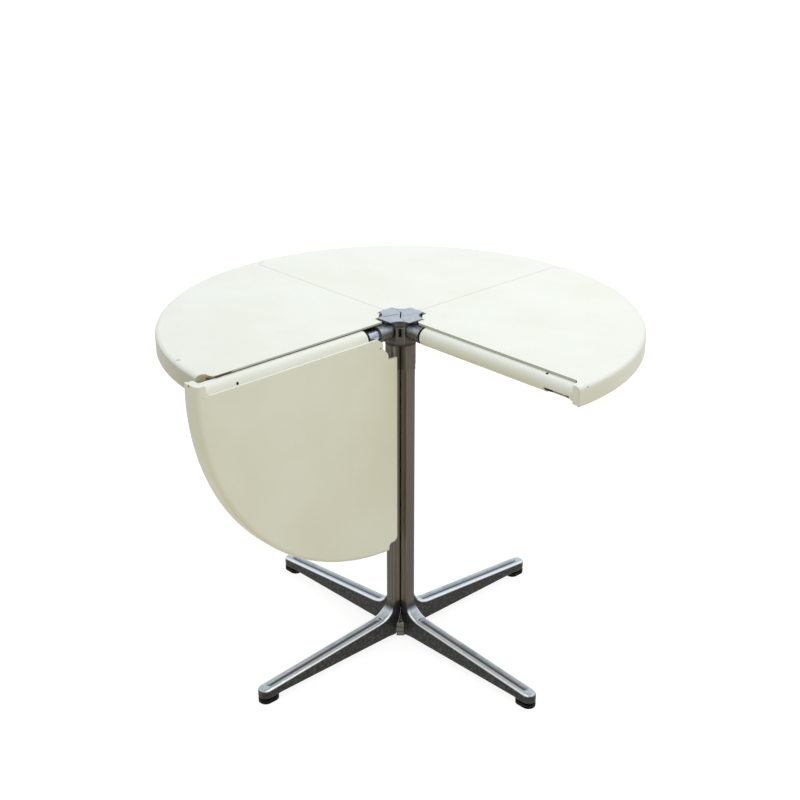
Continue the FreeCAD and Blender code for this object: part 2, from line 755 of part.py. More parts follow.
def write_arms():
    """Pieces of the four arms, which stay still under the table top."""
    leg, lobe, hub, petal, foot = leg_casting(), column_lobe(), hub_quarter(), cap_petal(), glide()
    tube, plug = arm_tube(), tube_plug()
    screws = []
    for arm, angle in arm_angles.items():
        save("leg_casting_" + arm, turned(leg, angle))
        save("column_lobe_" + arm, turned(lobe, angle))
        save("hub_quarter_" + arm, turned(hub, angle).cut(cap_slot()))
        save("cap_petal_" + arm, turned(petal, angle - arm_angles["front_left"]).cut(cap_slot()))
        save("arm_tube_" + arm, turned(tube, angle))
        save("tube_plug_" + arm, turned(plug, angle))
        save("glide_" + arm, turned(foot, angle))
        screws += [turned(screw, angle) for screw in set_screws()]
    save("tube_set_screws", Part.makeCompound(screws))
    save("hub_hinge_pins", hinge_pins(hub_pin_radius, hub_bottom, hub_top, hub_pin_place))
    pins = hinge_pins(base_pin_radius, base_knuckle_bottom, base_knuckle_top, base_pin_place)
    save("base_hinge_pins", pins)


def write_leaves():
    """Pieces that ride on the four leaves: three pushed in and raised, the front one hanging."""
    pieces = {"leaf_panel_": leaf_panel(), "inner_bush_": inner_bush(), "outer_bush_": outer_bush(),
              "bush_screw_": bush_screw()}
    for leaf, arm in leaf_arms.items():
        for name, piece in pieces.items():
            placed = hung(piece) if leaf == "front" else piece
            save(name + leaf, turned(placed, arm_angles[arm]))


os.makedirs("parts", exist_ok=True)
write_arms()
write_leaves()
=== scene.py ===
import bmesh
import bpy
import math
import numpy as np
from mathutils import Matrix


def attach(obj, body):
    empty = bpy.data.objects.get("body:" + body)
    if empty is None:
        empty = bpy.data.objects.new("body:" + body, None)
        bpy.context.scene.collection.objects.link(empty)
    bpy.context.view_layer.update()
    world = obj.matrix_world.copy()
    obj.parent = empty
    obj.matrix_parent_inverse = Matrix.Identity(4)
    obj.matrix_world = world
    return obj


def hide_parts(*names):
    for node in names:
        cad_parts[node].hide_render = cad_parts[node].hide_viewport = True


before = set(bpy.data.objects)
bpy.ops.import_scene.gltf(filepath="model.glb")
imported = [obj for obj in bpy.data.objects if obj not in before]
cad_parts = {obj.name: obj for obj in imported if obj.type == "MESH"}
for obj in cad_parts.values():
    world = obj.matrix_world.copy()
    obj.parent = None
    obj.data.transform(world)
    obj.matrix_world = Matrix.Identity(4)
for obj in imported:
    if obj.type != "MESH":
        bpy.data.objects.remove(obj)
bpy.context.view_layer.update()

# The room: a plain pale floor that runs out to white, and soft light from the sky, a large panel overhead and
# a weaker one at the front right. The floor sends a warm tone back up, as sand-coloured boards would. Nothing
# here belongs to the table.
full_white = (1.0, 1.0, 1.0, 1.0)
floor_warmth, floor_shade, floor_glow, floor_half = "#dccb9a", "#a0a0a0", 0.85, 20.0
sky_colour, sky_level = "#f6fdff", 0.66
panel_side = 2.4
panels = {"overhead_panel": {"power": 20.0, "spot": (0.4, 0.5, 2.6), "tilt": (-10, 8, 0)},
          "side_panel": {"power": 8.0, "spot": (2.2, -1.6, 1.5), "tilt": (68, 0, 54)}}


def linear(code):
    """sRGB hex colour as linear shares: a share past the dark foot is raised to the power 2.4."""
    shares = np.array([int(code[i:i + 2], 16) / 255 for i in (1, 3, 5)])
    lin = np.where(shares <= 0.04045, shares / 12.92, ((shares + 0.055) / 1.055) ** 2.4)
    return (*lin.tolist(), 1.0)


def add(tree, kind, values=None):
    """Adds a node. A value belongs to a property, or to a socket by its name or number: an output is joined
    to the socket, a hex colour is made linear, and anything else is set as it is."""
    item = tree.nodes.new(kind)
    for name, value in (values or {}).items():
        if isinstance(value, bpy.types.NodeSocket):
            tree.links.new(value, item.inputs[name])
        elif isinstance(name, str) and hasattr(item, name):
            setattr(item, name, value)
        else:
            item.inputs[name].default_value = linear(value) if isinstance(value, str) else value
    return item


def combine(tree, operation, first, second=0.0):
    """Two values put together by a sum, a product or another operation. Each is an output or a number."""
    return add(tree, "ShaderNodeMath", {"operation": operation, 0: first, 1: second}).outputs[0]


def seen_ray(tree):
    """1 for a ray that shows the background: straight from the camera, or by way of metal or glass."""
    path = add(tree, "ShaderNodeLightPath").outputs
    mirrored = combine(tree, "MAXIMUM", path["Is Glossy Ray"], path["Is Transmission Ray"])
    return combine(tree, "MAXIMUM", path["Is Camera Ray"], mirrored)


def bare_tree(holder):
    """Empty node tree of a material or of the world."""
    holder.use_nodes = True
    holder.node_tree.nodes.clear()
    return holder.node_tree


def new_item(name, data):
    """Object at the origin for a light, a camera, or a mesh that already lies in its place."""
    item = bpy.data.objects.new(name, data)
    bpy.context.collection.objects.link(item)
    return item


floor_paint = bpy.data.materials.new("white painted studio floor")
tree = bare_tree(floor_paint)
warm = add(tree, "ShaderNodeBsdfDiffuse", {"Color": floor_warmth}).outputs[0]
shade = add(tree, "ShaderNodeBsdfDiffuse", {"Color": floor_shade}).outputs[0]
glow = add(tree, "ShaderNodeEmission", {"Color": full_white, "Strength": floor_glow}).outputs[0]
lifted = add(tree, "ShaderNodeAddShader", {0: shade, 1: glow}).outputs[0]
mixed = add(tree, "ShaderNodeMixShader", {0: seen_ray(tree), 1: warm, 2: lifted})
add(tree, "ShaderNodeOutputMaterial", {0: mixed.outputs[0]})

floor_corners = [(x * floor_half, y * floor_half, 0) for x, y in ((-1, -1), (1, -1), (1, 1), (-1, 1))]
floor_mesh = bpy.data.meshes.new("studio_floor")
floor_mesh.from_pydata(floor_corners, [], [(0, 1, 2, 3)])
floor = new_item("studio_floor", floor_mesh)
floor.data.materials.append(floor_paint)

world = bpy.data.worlds.new("soft grey daylight")
bpy.context.scene.world = world
tree = bare_tree(world)
sky = add(tree, "ShaderNodeBackground", {"Color": sky_colour, "Strength": sky_level}).outputs[0]
backdrop = add(tree, "ShaderNodeBackground", {"Color": full_white, "Strength": 1.0}).outputs[0]
mixed = add(tree, "ShaderNodeMixShader", {0: seen_ray(tree), 1: sky, 2: backdrop})
add(tree, "ShaderNodeOutputWorld", {0: mixed.outputs[0]})

for name, panel in panels.items():
    lamp = bpy.data.lights.new(name, "AREA")
    lamp.shape = "SQUARE"
    lamp.size = panel_side
    lamp.energy = panel["power"]
    lamp_item = new_item(name, lamp)
    lamp_item.location = panel["spot"]
    lamp_item.rotation_euler = [math.radians(angle) for angle in panel["tilt"]]

# The camera stands 2.6 m in front of the table's axis at 1.7 m height and looks down at the table by 23
# degrees. Its place, turn and lens are those of the photograph. It isn't part of the table either.
lens_length, film_width = 63.73, 36.0
camera_spot, camera_turn = (0.0770, -2.6334, 1.6877), (1.1630, 0.0, 0.0297)
camera = bpy.data.cameras.new("camera")
camera.lens = lens_length
camera.sensor_width = film_width
camera_item = new_item("camera", camera)
camera_item.location = camera_spot
camera_item.rotation_euler = camera_turn
bpy.context.scene.camera = camera_item
bpy.context.scene.view_settings.view_transform = "Standard"

# Legs: gravity-cast aluminium, smoother on top than on the pitted flanks. The top is painted light and the
# flanks dark by which way a face turns: a painted reflection of the sky and of a dark floor. A painted
# highlight runs along the borders of the channel, painted shade lies in the channel and at the root under the
# column, and painted light lies on the knuckle block and the upward faces in the arch. Each leg plugs into
# its column lobe with a spigot, and hinges on its neighbours by knuckles.
arms = {"front_left": 225.0, "front_right": 315.0, "back_right": 45.0, "back_left": 135.0}
diagonal = math.sqrt(0.5)
pattern_leg, leg_grain, leg_passes = "back_right", 0.0011, 30
channel_floor = {"half width": 0.0065, "edge": 0.004, "least freedom": 0.2}
leg_root = {"end": 0.036, "edge": 0.012, "least freedom": 0.08}
crown = {"start": 0.074, "height": 0.0575, "fall": 0.0805, "skin": 0.006, "free end": 0.34}
channel_end = {"centre": 0.3615, "radius": 0.0062, "wall": 0.0018, "depth": 0.0034,
               "join": 0.346, "fade": 0.002}

# A band is a measure's name and the two levels, mostly in metres, between which its share eases from 0 to 1.
# A mark is a paint, its strength, and the bands that say where it lies.
top_polish_and_sheen = (("turned up", 0.15, 0.7), ("out", 0.032, 0.042))
channel_length = (("out", 0.056, 0.072), ("out", 0.368, 0.360))
leg_marks = {
    # Painted highlight along the borders of the channel on the top.
    "painted highlight on the borders": ("#eef5fc", 0.9, ("off middle", 0.0095, 0.0120), *top_polish_and_sheen),
    # Painted shade in the channel, darkest along its middle.
    "channel as cast, in painted shade": ("#8b9299", 0.75, ("off middle", 0.0062, 0.0050), *channel_length),
    "painted shade along the channel": ("#353a3e", 0.85, ("off middle", 0.0036, 0.0016), *channel_length),
    "black sole": ("#121211", 1.0, ("height", 0.0145, 0.0130), ("out", 0.335, 0.345)),
    # Painted shade on the root just under the column.
    "painted shade at the root under the column": ("#55524c", 1.0, ("height", 0.080, 0.0905)),
    # Painted light on the knuckle block and on the upward faces in the arch between the legs.
    "painted light on the knuckle block": ("#8d867b", 0.55, ("out", 0.034, 0.031), ("height", 0.0410, 0.0400),
                           ("off slit", 0.0084, 0.0080)),
    "painted light in the arch": ("#e6eaee", 1.0, ("off slit", 0.0070, 0.0060), ("turned up", 0.1, 0.5),
                              ("height", 0.0395, 0.0400), ("height", 0.0640, 0.0600))}
# Painted reflection: the top takes the light crown colours and the flanks the dark ones, by how far a face
# turns up.
flank_reflection_colours, crown_sheen_colours = ("#2d2d2b", "#504e49"), ("#bcc7d2", "#9ba7b3")
stain_size, stain_range = 0.03, (0.45, 0.75)
speck_colour, speck_level, speck_size, speck_range = "#a9b1b8", 0.5, 0.006, (0.5, 0.72)
pit_size, pit_range, pit_detail, pit_depth, pit_strength = 0.007, (0.4, 0.75), 5.0, 0.0004, 0.15
leg_metal, leg_roughness = 0.75, (0.5, 0.28)


def new_material(name):
    """New material with an empty tree: the material, its tree, and its Object coordinates."""
    material = bpy.data.materials.new(name)
    tree = bare_tree(material)
    return material, tree, add(tree, "ShaderNodeTexCoord").outputs["Object"]


def finished(material, values):
    """The material with its Principled shader, whose sockets take the values by name, and its output."""
    shader = add(material.node_tree, "ShaderNodeBsdfPrincipled", values)
    add(material.node_tree, "ShaderNodeOutputMaterial", {0: shader.outputs[0]})
    return material


def ramp(tree, value, low, high, first=0.0, last=1.0):
    """Value that eases from the first to the last as the input runs from low to high."""
    ends = {"From Min": low, "From Max": high, "To Min": first, "To Max": last, "Value": value}
    return add(tree, "ShaderNodeMapRange", {"interpolation_type": "SMOOTHSTEP", **ends}).outputs[0]


def patches(tree, place, size, stretch=(1, 1, 1), span=(0.35, 0.65), detail=3.0, roughness=0.6):
    """Cloudy share from 0 to 1, with patches of about the given size in metres, drawn out by the stretch. It
    is noise of scale 1 on coordinates divided by the patch size, eased over the span of noise levels."""
    scale = tuple(1 / (size * part) for part in stretch)
    mapped = add(tree, "ShaderNodeMapping", {"Scale": scale, "Vector": place}).outputs[0]
    noise = {"Scale": 1.0, "Detail": detail, "Roughness": roughness, "Vector": mapped}
    return ramp(tree, add(tree, "ShaderNodeTexNoise", noise).outputs[0], *span)


def product(tree, *shares):
    """Product of shares, each an output or a number."""
    total = shares[0]
    for share in shares[1:]:
        total = combine(tree, "MULTIPLY", total, share)
    return total


def laid_over(tree, base, paint, *shares):
    """Colour that goes from the base to the paint as the product of the shares goes from 0 to 1. The sockets
    for colours are 6 and 7 on a Mix node, and its colour comes out at 2."""
    mix = add(tree, "ShaderNodeMix", {"data_type": "RGBA", 0: product(tree, *shares), 6: base, 7: paint})
    return mix.outputs[2]


def measures_of(tree, place):
    """What marks are placed by. Out and off middle are the sum and the difference of the distances to the two
    upright planes between the arms, times the root of a half: the distance out along the nearest arm, and off
    its middle. Off slit is the smaller of the two distances, and far the larger. Turned up is the upright
    part of the face's normal."""
    absolute = add(tree, "ShaderNodeVectorMath", {"operation": "ABSOLUTE", 0: place}).outputs[0]
    x, y, height = add(tree, "ShaderNodeSeparateXYZ", {0: absolute}).outputs
    normal = add(tree, "ShaderNodeNewGeometry").outputs["Normal"]
    unequal = combine(tree, "ABSOLUTE", combine(tree, "SUBTRACT", x, y))
    return {"out": product(tree, combine(tree, "ADD", x, y), diagonal),
            "off middle": product(tree, unequal, diagonal),
            "off slit": combine(tree, "MINIMUM", x, y), "far": combine(tree, "MAXIMUM", x, y),
            "height": height, "turned up": add(tree, "ShaderNodeSeparateXYZ", {0: normal}).outputs[2]}


def share_of(tree, measures, *bands):
    """Product of the bands' shares: each eases from 0 to 1 as its measure runs from the band's first number
    to its second."""
    return product(tree, *[ramp(tree, measures[name], low, high) for name, low, high in bands])


def marked(tree, colour, measures, marks):
    """Colour with the marks laid over it in turn. A mark is its paint, its strength and its bands."""
    for paint, strength, *bands in marks.values():
        colour = laid_over(tree, colour, paint, strength, share_of(tree, measures, *bands))
    return colour


def merged(node, nearness=0.00001, flatness=0.3):
    """Copy of a CAD node's mesh with its doubles merged, to a nearness in metres, and its flat faces joined,
    to a flatness in degrees."""
    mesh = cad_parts[node].data.copy()
    if "custom_normal" in mesh.attributes:
        mesh.attributes.remove(mesh.attributes["custom_normal"])
    work = bmesh.new()
    work.from_mesh(mesh)
    bmesh.ops.remove_doubles(work, verts=work.verts, dist=nearness)
    bmesh.ops.dissolve_limit(work, angle_limit=math.radians(flatness), verts=work.verts, edges=work.edges)
    work.to_mesh(mesh)
    work.free()
    mesh.polygons.foreach_set("use_smooth", np.ones(len(mesh.polygons), dtype=bool))
    return mesh


def rows_of(mesh):
    """Corners of a mesh as rows of x, y, z."""
    places = np.empty(len(mesh.vertices) * 3)
    mesh.vertices.foreach_get("co", places)
    return places.reshape(-1, 3)


def turned(places, angle):
    """Rows of x, y, z turned about the upright axis by an angle in degrees."""
    cos, sin = math.cos(math.radians(angle)), math.sin(math.radians(angle))
    x, y, z = places.T
    return np.stack((x * cos - y * sin, x * sin + y * cos, z), axis=1)


def even_faces(node, grain, angle):
    """A CAD node's surface turned back by the angle, so that its length lies on an axis, and remade in even
    faces of the grain's size."""
    mesh = merged(node)
    mesh.vertices.foreach_set("co", turned(rows_of(mesh), -angle).ravel())
    source = new_item("even_source", mesh)
    skin = source.modifiers.new("even_faces", "REMESH")
    skin.mode = "VOXEL"
    skin.voxel_size = grain
    mesh = bpy.data.meshes.new_from_object(source.evaluated_get(bpy.context.evaluated_depsgraph_get()))
    bpy.data.objects.remove(source)
    return mesh


def relaxed(mesh, places, passes, freedom, step=0.5):
    """Corners after the passes: in each pass a corner goes towards the mean of its neighbours, by the step
    times its freedom."""
    ends = np.empty(len(mesh.edges) * 2, dtype=np.int32)
    mesh.edges.foreach_get("vertices", ends)
    first, last = ends.reshape(-1, 2).T
    own, other = np.concatenate((first, last)), np.concatenate((last, first))
    count = np.bincount(own, minlength=len(places))
    for _ in range(passes):
        sums = np.stack([np.bincount(own, places[other, axis], len(places)) for axis in range(3)], axis=1)
        places = places + (sums / count[:, None] - places) * step * freedom[:, None]
    return places


def climb(values, start, run):
    """0 up to the start, then straight up to 1 over the run."""
    return np.clip((values - start) / run, 0.0, 1.0)


def with_channel_end(places):
    """Corners with the crown's free end brought to its straight line, and the channel carried on in it to a
    round end. A corner goes below the line by the depth times a share, which falls from 1 to 0 as the
    distance from the channel's last middle point nears the radius."""
    outward, across, height = places[:, 0], np.abs(places[:, 1]), places[:, 2]
    line = crown["height"] - crown["fall"] * (outward - crown["start"])
    away = np.hypot(np.maximum(outward - channel_end["centre"], 0.0), across)
    dip = climb(channel_end["radius"] - away, 0.0, channel_end["wall"])
    dip = dip * climb(outward, channel_end["join"], channel_end["fade"])
    on_crown = (height > line - crown["skin"]) & (outward > crown["free end"])
    lowered = np.minimum(height, line - channel_end["depth"] * dip)
    return np.column_stack((places[:, :2], np.where(on_crown, lowered, height)))


material, tree, place = new_material("cast aluminium, painted sheen on top")
measures = measures_of(tree, place)
topside = share_of(tree, measures, *top_polish_and_sheen)
pits = patches(tree, place, pit_size, span=pit_range, detail=pit_detail)
# Painted reflection: dark flanks and a light top, chosen by how far a face turns up; the pits are the
# casting's own.
flank = laid_over(tree, *flank_reflection_colours, pits)
top = laid_over(tree, *crown_sheen_colours, patches(tree, place, stain_size, span=stain_range))
top = laid_over(tree, top, speck_colour, patches(tree, place, speck_size, span=speck_range), speck_level)
colour = marked(tree, laid_over(tree, flank, top, topside), measures, leg_marks)
bump = add(tree, "ShaderNodeBump", {"Strength": pit_strength, "Distance": pit_depth, "Height": pits})
finished(material, {"Base Color": colour, "Metallic": leg_metal, "Normal": bump.outputs[0],
                    "Roughness": ramp(tree, topside, 0.0, 1.0, *leg_roughness)})

leg_mesh = even_faces("leg_casting_" + pattern_leg, leg_grain, arms[pattern_leg])
leg_places = rows_of(leg_mesh)
off_channel = climb(np.abs(leg_places[:, 1]), channel_floor["half width"], channel_floor["edge"])
off_root = climb(leg_places[:, 0], leg_root["end"], leg_root["edge"])
freedom = np.maximum(off_channel, channel_floor["least freedom"])
freedom = freedom * np.maximum(off_root, leg_root["least freedom"])
leg_places = with_channel_end(relaxed(leg_mesh, leg_places, leg_passes, freedom))
leg_mesh.polygons.foreach_set("use_smooth", np.ones(len(leg_mesh.polygons), dtype=bool))
leg_mesh.materials.clear()
leg_mesh.materials.append(material)
for arm, angle in arms.items():
    mesh = leg_mesh.copy()
    mesh.vertices.foreach_set("co", turned(leg_places, angle).ravel())
    mesh.update()
    leg = new_item("leg_" + arm, mesh)
    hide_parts("leg_casting_" + arm)
    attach(leg, "frame")

# Glides: oblong feet of moulded black nylon, dusty and scratched at the sole. A peg on each is pushed into
# the underside of its leg.
dust_size, rubbed_width, rubbed_level = 0.01, 0.0006, 0.3
nylon_colours, rubbed_nylon = ("#060606", "#121211"), "#3a3934"
nylon_roughness, nylon_shine = (0.45, 0.62), 0.1


def worn_edges(tree, radius, samples=4, flat_match=0.99, worn_match=0.86):
    """1 where a face lies within the radius of an outer edge. There a rounded normal leans off the true one,
    so that their dot product falls from the flat match to the worn match."""
    soft = add(tree, "ShaderNodeBevel", {"samples": samples, "Radius": radius}).outputs[0]
    true = add(tree, "ShaderNodeNewGeometry").outputs["True Normal"]
    match = add(tree, "ShaderNodeVectorMath", {"operation": "DOT_PRODUCT", 0: soft, 1: true})
    return ramp(tree, match.outputs["Value"], flat_match, worn_match)


def dress(material, *names):
    """Gives CAD nodes a material in all their slots."""
    for name in names:
        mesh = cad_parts[name].data
        mesh.materials.clear()
        mesh.materials.append(material)


material, tree, place = new_material("moulded black nylon")
dust = patches(tree, place, dust_size)
colour = laid_over(tree, *nylon_colours, dust)
colour = laid_over(tree, colour, rubbed_nylon, worn_edges(tree, rubbed_width), rubbed_level)
black_nylon = finished(material, {"Base Color": colour, "Specular IOR Level": nylon_shine,
                                  "Roughness": ramp(tree, dust, 0.0, 1.0, *nylon_roughness)})
dress(black_nylon, *["glide_" + arm for arm in arms])

# Column: four extruded aluminium lobes, once bright, now dull brown-grey with streaks down their length. The
# lobes carry painted shade on their tips, towards the floor and in the slit, and painted light on the rounded
# edges beside the slit. A lobe is pushed over its leg's spigot, and its top goes up into the hub.
streak_size, streak_stretch, lobe_colours = 0.004, (1, 1, 60), ("#78726a", "#8d867c")
# Painted shade: darker tips, and darker towards the floor.
lobe_shade_marks = {"painted shade on the tips": ("#655e55", 1.0, ("out", 0.029, 0.0315)),
              "painted shade towards the floor": ("#45423d", 0.35, ("height", 0.6, 0.15))}
# Painted light on the rounded edges beside the slit, and painted shade in the slit itself.
slit_light_and_shade_marks = {"painted light beside the slit": ("#b0a797", 0.6, ("off slit", 0.0105, 0.0040)),
              "painted shade in the slit": ("#0e0d0b", 1.0, ("off slit", 0.0018, 0.0012))}
lobe_metal, lobe_roughness = 0.6, (0.3, 0.42)


def lobe_colour(tree, measures, streaks):
    """Brown-grey of the lobes with streaks down their length, with painted shade on the tips and lower down.
    """
    return marked(tree, laid_over(tree, *lobe_colours, streaks), measures, lobe_shade_marks)


material, tree, place = new_material("extruded aluminium, dulled")
measures = measures_of(tree, place)
streaks = patches(tree, place, streak_size, streak_stretch)
colour = marked(tree, lobe_colour(tree, measures, streaks), measures, slit_light_and_shade_marks)
finished(material, {"Base Color": colour, "Metallic": lobe_metal,
                    "Roughness": ramp(tree, streaks, 0.0, 1.0, *lobe_roughness)})
dress(material, *["column_lobe_" + arm for arm in arms])

# Hub and cap: four zinc castings, hinged by upright pins, with a petal of the cap on each. Their thin grey
# enamel is worn through to bright metal on the edges. Level faces are painted light blue-grey and upright
# faces dark brown, a painted sheen and shade, both mottled with grime. Painted shade lies under the cap, in
# the corners, the knuckle slots and the skirt's slit, and a wavy split, dark with dirt, runs to the left over
# the cap.
grime_size, level_turn = 0.008, (0.0, 0.7)
upright_shade_colours, level_sheen_colours = ("#413b34", "#5f584f"), ("#a3adb9", "#b3bcc6")
# Painted shade on the upward faces just under the cap.
hub_shade_under_cap = {
    "painted shade under the cap": ("#3f444a", 0.85, ("height", 0.7290, 0.7260), ("turned up", 0.72, 0.92))}
wear_colour, wear_width, wear_level, wear_band = "#c3c7ca", 0.0012, 0.7, ("height", 0.6800, 0.6820)
skirt_band = ("height", 0.6795, 0.6775)
skirt_slit = (skirt_band, ("off slit", 0.0018, 0.0012))
skirt_dirt = {
    "dirt at the skirt's top": ("#25211d", 0.8, ("height", 0.6765, 0.6780), ("height", 0.6835, 0.6815))}
knuckle_slot = (("far", 0.0285, 0.0295), ("off slit", 0.0034, 0.0030),
                ("height", 0.6990, 0.6995), ("height", 0.7175, 0.7170))
gap_shade_colour, corner_shade_colour, corner_reach = "#050504", "#1f1c19", 0.008
cap_reach, split_middle = 0.0445, 0.5
split_line = ((0.0, 0.5), (0.12, 0.485), (0.42, 0.53), (0.62, 0.69), (1.0, 0.52))
split_dirt = {"dirt in the split": ("#15171a", 0.9, ("off split", 0.040, 0.022), ("right", -0.10, -0.14),
                                    ("height", 0.7300, 0.7304))}
enamel_metal, enamel_roughness = (0.3, 0.0), (0.36, 0.5)
hub_easing, cap_easing = 0.0005, 0.0006


def corners(tree, reach, low=0.55, high=0.95, samples=6):
    """1 deep in a corner or slot of the piece itself, and 0 on its open faces: the share of free directions
    within the reach falls from the high to the low level."""
    shelter = add(tree, "ShaderNodeAmbientOcclusion",
                  {"samples": samples, "only_local": True, "Distance": reach})
    return ramp(tree, shelter.outputs["AO"], high, low)


def eased(node, radius, material, sharp=35.0, steps=2):
    """Copy of a CAD node in the given material. Edges sharper than the angle in degrees are rounded by a
    bevel of the radius, in the given steps."""
    mesh = merged(node)
    mesh.set_sharp_from_angle(angle=math.radians(sharp))
    mesh.materials.clear()
    mesh.materials.append(material)
    item = new_item(node + "_eased", mesh)
    bevel = item.modifiers.new("eased_edges", "BEVEL")
    bevel.width = radius
    bevel.segments = steps
    bevel.limit_method = "ANGLE"
    bevel.angle_limit = math.radians(sharp)
    bevel.harden_normals = True
    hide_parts(node)
    return item


material, tree, place = new_material("zinc casting, grey enamel")
measures = measures_of(tree, place)
grime = patches(tree, place, grime_size)
# Painted sheen and shade: level faces take the light blue-grey colours and upright faces the dark brown ones.
upright_shade_colour = laid_over(tree, *upright_shade_colours, grime)
level_sheen_colour = laid_over(tree, *level_sheen_colours, grime)
colour = laid_over(tree, upright_shade_colour, level_sheen_colour, ramp(tree, measures["turned up"], *level_turn))
colour = marked(tree, colour, measures, hub_shade_under_cap)
colour = laid_over(tree, colour, wear_colour, worn_edges(tree, wear_width), wear_level,
                   share_of(tree, measures, wear_band))
skirt = lobe_colour(tree, measures, patches(tree, place, streak_size, streak_stretch))
colour = laid_over(tree, colour, skirt, share_of(tree, measures, skirt_band))
colour = marked(tree, colour, measures, skirt_dirt)
# Painted shade: the skirt's slit and the knuckle slots are painted near black.
slit, slot = share_of(tree, measures, *skirt_slit), share_of(tree, measures, *knuckle_slot)
dark = combine(tree, "MAXIMUM", slit, slot)
colour = laid_over(tree, colour, gap_shade_colour, dark)
# Painted shade deep in corners and slots, by how sheltered a point is.
colour = laid_over(tree, colour, corner_shade_colour, corners(tree, corner_reach))
scaled = add(tree, "ShaderNodeVectorMath", {"operation": "SCALE", "Scale": 1 / cap_reach, 0: place})
right, deep, _ = add(tree, "ShaderNodeSeparateXYZ", {0: scaled.outputs[0]}).outputs
wave = add(tree, "ShaderNodeFloatCurve", {"Value": product(tree, right, -1.0)})
bends = wave.mapping.curves[0].points
for bend in split_line[1:-1]:
    bends.new(*bend)
bends[0].location, bends[-1].location = split_line[0], split_line[-1]
wave.mapping.update()
off_split = combine(tree, "ADD", combine(tree, "ADD", deep, wave.outputs[0]), -split_middle)
measures.update({"right": right, "off split": combine(tree, "ABSOLUTE", off_split)})
colour = marked(tree, colour, measures, split_dirt)
roughness = combine(tree, "MAXIMUM", ramp(tree, grime, 0.0, 1.0, *enamel_roughness), dark)
finished(material, {"Base Color": colour, "Roughness": roughness,
                    "Metallic": ramp(tree, dark, 0.0, 1.0, *enamel_metal)})
for arm in arms:
    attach(eased("hub_quarter_" + arm, hub_easing, material), "frame")
    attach(eased("cap_petal_" + arm, cap_easing, material), "frame")

# Pins and set screws: zinc-plated steel, dulled in small spots. The pins are pressed into the knuckles, and
# the screws are turned into the sockets.
plate_size, plate_colours, plate_metal, plate_roughness = 0.002, ("#8b8b88", "#6d6c69"), 1.0, 0.35
material, tree, place = new_material("zinc-plated steel")
colour = laid_over(tree, *plate_colours, patches(tree, place, plate_size))
finished(material, {"Base Color": colour, "Metallic": plate_metal, "Roughness": plate_roughness})
dress(material, "tube_set_screws", "hub_hinge_pins", "base_hinge_pins")

# Arm tubes: drawn steel tube, chrome plated and finely scratched, held in the hub's sockets by two screws
# each. A black plug closes each outer end.
scratch_size, chrome_colours, chrome_metal, chrome_roughness = 0.006, ("#b3c0cf", "#96a3b2"), 1.0, 0.3
# Painted reflection on the tube's top and painted shade on its underside, by how far a face turns up.
chrome_reflection_and_shade_marks = {"painted reflection on top": ("#4d4f53", 1.0, ("turned up", 0.75, 0.9)),
                "painted shade on the underside": ("#2b2d31", 1.0, ("turned up", -0.15, -0.55))}
material, tree, place = new_material("chromed steel tube")
colour = laid_over(tree, *chrome_colours, patches(tree, place, scratch_size))
colour = marked(tree, colour, measures_of(tree, place), chrome_reflection_and_shade_marks)
finished(material, {"Base Color": colour, "Metallic": chrome_metal, "Roughness": chrome_roughness})
dress(material, *["arm_tube_" + arm for arm in arms])
dress(black_nylon, *["tube_plug_" + arm for arm in arms])

# Leaves: each is one plastic moulding, cream and slightly yellowed, with a fine satin skin. Grey scuffs and
# hair scratches show on top, and dust with painted shade darkens the corners. The sides of the plate that a
# neighbour covers are painted grey-beige; painted shade lies at their foot, in the notches, on the rims
# towards the left and in the screw holes, with a painted shadow under the left leaf's root. A leaf slides and
# swings on its arm's tube.
leaves = ("front", "right", "back", "left")
plastic_colours, age_size, age_span, plastic_roughness = ("#f5f6ee", "#f1f1e6"), 0.2, (0.3, 0.7), (0.36, 0.48)
hair_colour, hair_level, hair_field, hair_field_span = "#cbc9bd", 0.25, 0.06, (0.5, 0.7)
hair_width, hair_stretch, hair_span, hair_detail = 0.0015, (1, 30, 1), (0.64, 0.72), 1.0
scuff_colour, scuff_grit, scuff_span, scuff_core = "#807b70", 0.002, (0.42, 0.6), 0.4
scuffs = {"edge scuff": ((-0.3982, -0.2455, 0.7300), 0.006), "rim chip": ((-0.4441, 0.1677, 0.7270), 0.005),
          "end spot": ((-0.3354, -0.3679, 0.7066), 0.002), "corner spot": ((-0.3423, -0.3748, 0.7270), 0.003),
          "barrel mark": ((-0.1595, -0.1920, 0.7115), 0.003)}
dust_and_shade_colour, dust_and_shade_level, dust_and_shade_reach, dust_and_shade_span = "#a79d84", 0.7, 0.006, (0.3, 0.6)

# Beside is the distance off the middle of an arm, above 0 towards the leaf that rests there with its second
# edge, and below 0 towards the leaf that the arm carries. The hanging leaf lies in the front left quarter.
front_left, level_span = (("x", 0.0, -0.01), ("y", 0.0, -0.01)), (0.3, 0.8)
upright, rim_height = ("level face", 1.0, 0.0), ("height", 0.6900, 0.6920)
plate_side = (("off middle", 0.0030, 0.0022), upright, ("height", 0.7235, 0.7245))
second_edge = (("beside", 0.0006, 0.0010), rim_height)
notch_shade, notch_shade_run = ("#7c6a42", "#d8caa2"), (0.006, 0.016)
